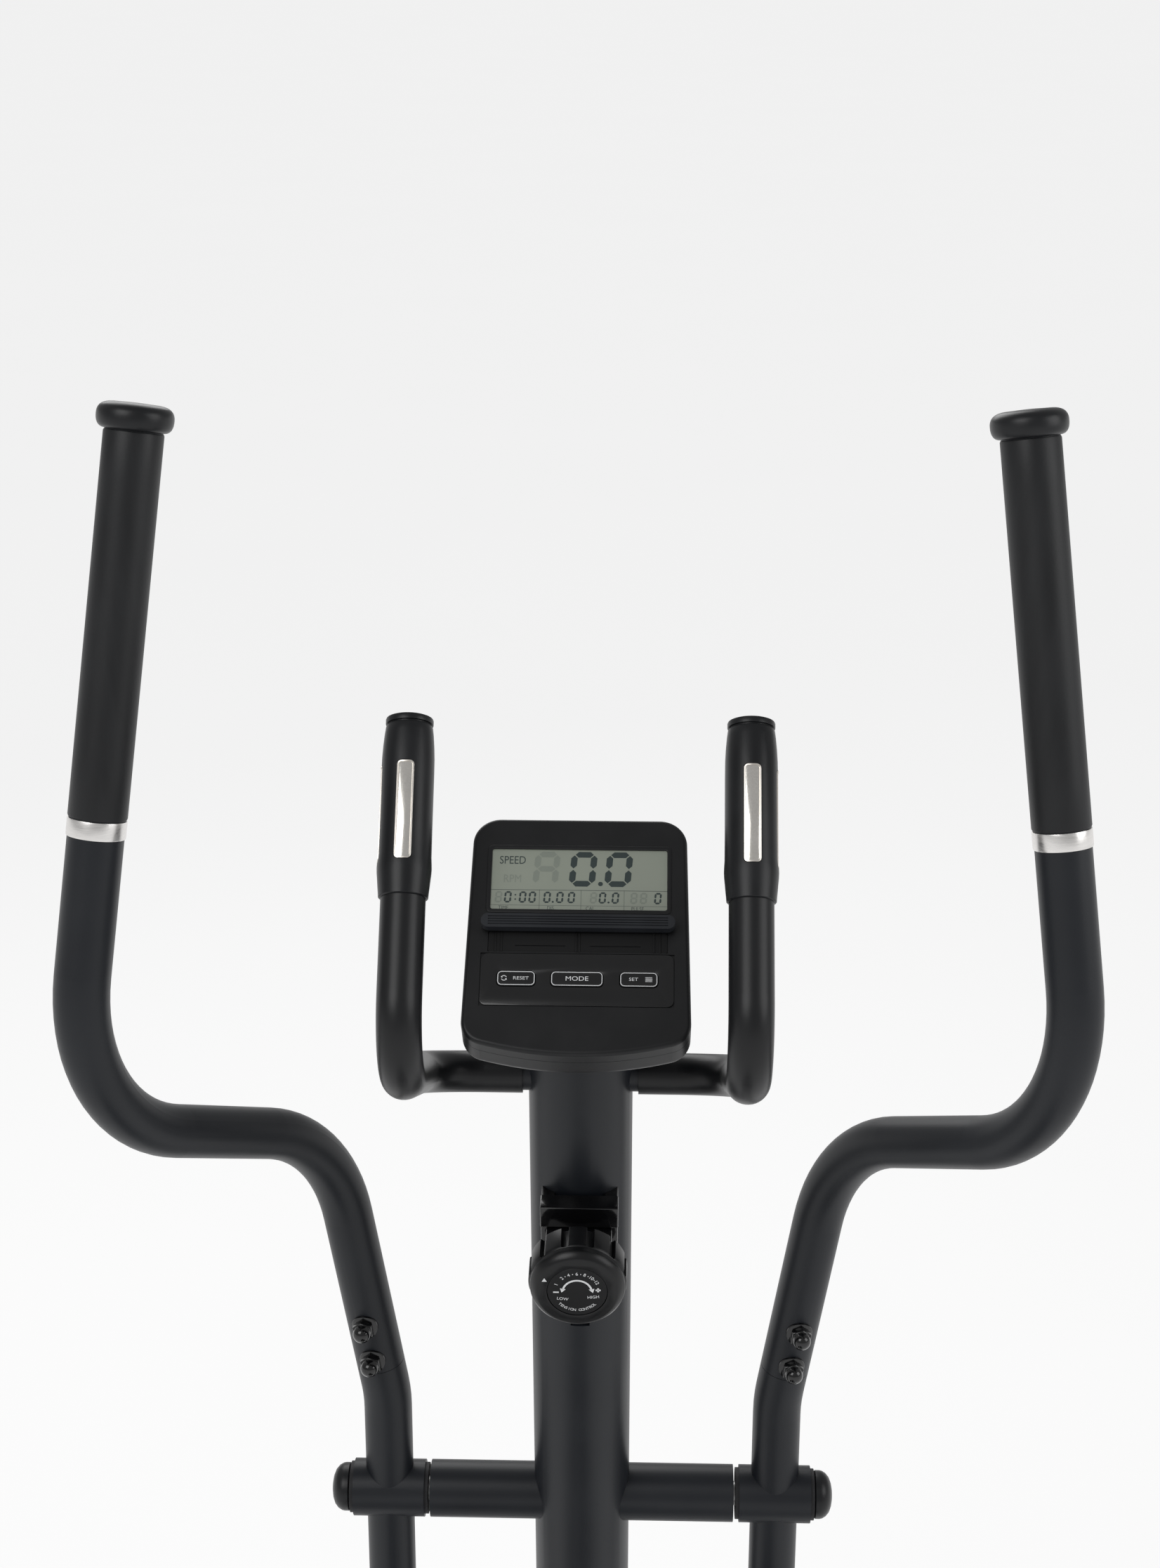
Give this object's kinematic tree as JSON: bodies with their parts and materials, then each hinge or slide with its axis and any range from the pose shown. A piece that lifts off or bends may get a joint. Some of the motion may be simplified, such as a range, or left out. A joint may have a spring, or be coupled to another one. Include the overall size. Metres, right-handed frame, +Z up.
{
  "type": "elliptical trainer",
  "caption": "Upright elliptical trainer with two coupled swing arms and pedals, a fixed pulse bar, a console and a belt-driven magnetic flywheel.",
  "frame": {"origin": "on the floor, under the centre of the bounding box", "axes": "+Z up, the rider stands on the pedals facing +Y, +X to the rider's right"},
  "size_m": [0.5866, 1.152, 1.563],
  "materials": {
    "frame_paint": "satin fine-textured blue-black powder coat",
    "bar_coating": "matte black dipped sleeve",
    "ring_metal": "bright silver",
    "black_fasteners": "glossy black",
    "bare_steel": "machined",
    "console_plastic": "fine-textured charcoal",
    "panel_gloss": "gloss black",
    "lcd_window": "clear",
    "display_parts": "grey-green",
    "stainless": "brushed",
    "pulse_plastic": "satin black",
    "housing_plastic": "satin moulded charcoal",
    "wheel_plastic": "hard black",
    "belt_rubber": "ribbed belt",
    "flywheel_iron": "turned"
  },
  "bodies": {
    "frame": {"base_frame": "frame_paint", "mast_and_pivot": "frame_paint", "swing_axle": "bare_steel", "plastic_caps": "black_fasteners", "frame_bolts": "black_fasteners", "cover_screws": "black_fasteners", "foot_end_caps": "pulse_plastic", "front_foot": "frame_paint", "rear_stabilizer": "frame_paint", "drive_frame": "frame_paint", "axles_and_bearings": "bare_steel", "drive_belt": "belt_rubber", "left_housing": "housing_plastic", "right_housing": "housing_plastic", "console_back": "console_plastic", "console_bezel": "console_plastic", "console_bracket": "frame_paint", "key_panel": "panel_gloss", "lcd_lens": "lcd_window", "display": "display_parts", "reading_ledge": "console_plastic", "battery_cover": "console_plastic", "fixed_handlebar": "bar_coating", "tension_dial": "panel_gloss", "pulse_grips": "pulse_plastic", "pulse_plates": "stainless", "tension_bracket": "console_plastic", "brake_cable": "belt_rubber", "speed_sensor_wire": "display_parts"},
    "crank_set": {"crank": "bare_steel", "crank_discs": "housing_plastic", "drive_pulley": "wheel_plastic"},
    "flywheel_set": {"flywheel_and_pulley": "flywheel_iron"},
    "idler": {"idler_wheel": "wheel_plastic"},
    "brake": {"magnet_carrier": "bare_steel", "brake_magnets": "bare_steel"},
    "tension_knob": {"knob": "panel_gloss"},
    "reset_button": {"reset_key": "panel_gloss"},
    "mode_button": {"mode_key": "panel_gloss"},
    "set_button": {"set_key": "panel_gloss"},
    "left_arm": {"left_swing_tube": "frame_paint", "left_upper_arm": "frame_paint", "left_grip": "bar_coating", "left_grip_ring": "ring_metal", "left_arm_bolts": "black_fasteners", "left_pivot_bushes": "pulse_plastic"},
    "left_pedal_set": {"left_pedal": "housing_plastic", "left_pedal_bar": "frame_paint", "left_pedal_pins": "bare_steel"},
    "left_wheel": {"left_transport_wheel": "wheel_plastic"},
    "right_arm": {"right_swing_tube": "frame_paint", "right_upper_arm": "frame_paint", "right_grip": "bar_coating", "right_grip_ring": "ring_metal", "right_arm_bolts": "black_fasteners", "right_pivot_bushes": "pulse_plastic"},
    "right_pedal_set": {"right_pedal": "housing_plastic", "right_pedal_bar": "frame_paint", "right_pedal_pins": "bare_steel"},
    "right_wheel": {"right_transport_wheel": "wheel_plastic"}
  },
  "joints": [
    {"name": "swing_left", "type": "hinge", "parent": "frame", "child": "left_arm", "pos_m": [-0.13, 0.37845, 0.8], "axis": [1, 0, 0], "range_deg": [-14.5, 14.5]},
    {"name": "swing_right", "type": "hinge", "parent": "frame", "child": "right_arm", "pos_m": [0.13, 0.37845, 0.8], "axis": [1, 0, 0], "range_deg": [-14.5, 14.5]},
    {"name": "pedal_left_link", "type": "hinge", "parent": "left_arm", "child": "left_pedal_set", "pos_m": [-0.13, 0.37845, 0.32], "axis": [1, 0, 0], "range_deg": [-14.5, 14.5]},
    {"name": "pedal_right_link", "type": "hinge", "parent": "right_arm", "child": "right_pedal_set", "pos_m": [0.13, 0.37845, 0.32], "axis": [1, 0, 0], "range_deg": [-14.5, 14.5]},
    {"name": "crank_spin", "type": "hinge", "parent": "frame", "child": "crank_set", "pos_m": [0, -0.235, 0.32], "axis": [1, 0, 0], "continuous": true},
    {"name": "flywheel_spin", "type": "hinge", "parent": "frame", "child": "flywheel_set", "pos_m": [0, 0, 0.268], "axis": [1, 0, 0], "continuous": true},
    {"name": "idler_spin", "type": "hinge", "parent": "frame", "child": "idler", "pos_m": [0.036, -0.04916, 0.20648], "axis": [1, 0, 0], "continuous": true},
    {"name": "knob_turn", "type": "hinge", "parent": "frame", "child": "tension_knob", "pos_m": [0, 0.26041, 1.03616], "axis": [0, -0.986, -0.1668], "range_deg": [0, 270]},
    {"name": "brake_lift", "type": "hinge", "parent": "frame", "child": "brake", "pos_m": [0, 0.06, 0.386], "axis": [1, 0, 0], "range_deg": [-8, 0]},
    {"name": "wheel_left_spin", "type": "hinge", "parent": "frame", "child": "left_wheel", "pos_m": [-0.165, 0.556, 0.055], "axis": [1, 0, 0], "continuous": true},
    {"name": "wheel_right_spin", "type": "hinge", "parent": "frame", "child": "right_wheel", "pos_m": [0.165, 0.556, 0.055], "axis": [1, 0, 0], "continuous": true},
    {"name": "reset_press", "type": "slide", "parent": "frame", "child": "reset_button", "axis": [0, 0.6388, -0.7694], "range_m": [0, 0.0006], "stiffness_N_per_m": 1500},
    {"name": "mode_press", "type": "slide", "parent": "frame", "child": "mode_button", "axis": [0, 0.6388, -0.7694], "range_m": [0, 0.0006], "stiffness_N_per_m": 1500},
    {"name": "set_press", "type": "slide", "parent": "frame", "child": "set_button", "axis": [0, 0.6388, -0.7694], "range_m": [0, 0.0006], "stiffness_N_per_m": 1500}
  ],
  "couplings": [
    {"joint": "swing_right", "follows": "swing_left", "ratio": -1},
    {"joint": "pedal_left_link", "follows": "swing_left", "ratio": -1},
    {"joint": "pedal_right_link", "follows": "swing_left", "ratio": 1},
    {"joint": "flywheel_spin", "follows": "crank_spin", "ratio": 5.2083},
    {"joint": "idler_spin", "follows": "crank_spin", "ratio": -5.6818},
    {"joint": "brake_lift", "follows": "knob_turn", "ratio": -0.02963}
  ]
}
